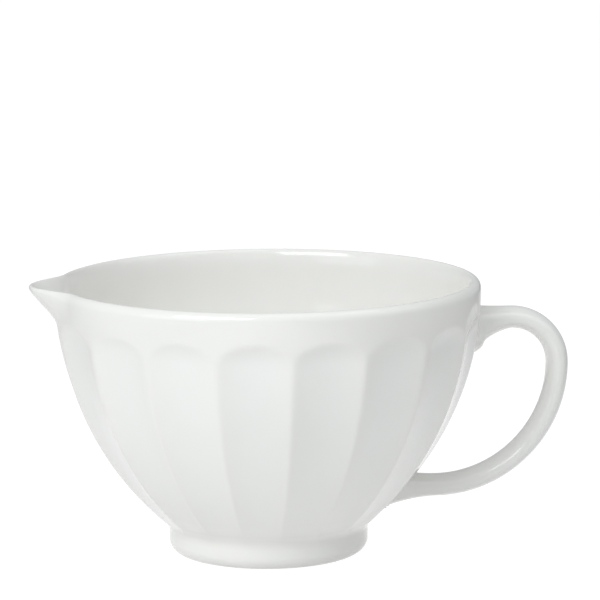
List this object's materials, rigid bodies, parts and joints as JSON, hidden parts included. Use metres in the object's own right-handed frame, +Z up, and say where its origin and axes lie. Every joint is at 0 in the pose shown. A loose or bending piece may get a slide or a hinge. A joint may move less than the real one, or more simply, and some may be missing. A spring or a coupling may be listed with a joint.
{
  "type": "batter bowl",
  "caption": "White glazed ceramic batter bowl with fluted sides, a plain rim band, a pulled pouring spout, a round foot ring and a loop strap handle.",
  "frame": {"origin": "centre of the foot ring's standing face, on the bowl's axis", "axes": "+Z up along the bowl's axis, +X towards the handle, -X towards the spout, so +Y is to the right of the spout when the bowl is seen from the handle's side"},
  "size_m": [0.2645, 0.208, 0.134],
  "materials": {
    "white_glaze": "gloss white glaze"
  },
  "bodies": {
    "root": {"bowl_body": "white_glaze", "pour_spout": "white_glaze", "foot_ring": "white_glaze", "handle": "white_glaze", "upper_terminal": "white_glaze", "lower_terminal": "white_glaze"}
  },
  "joints": []
}
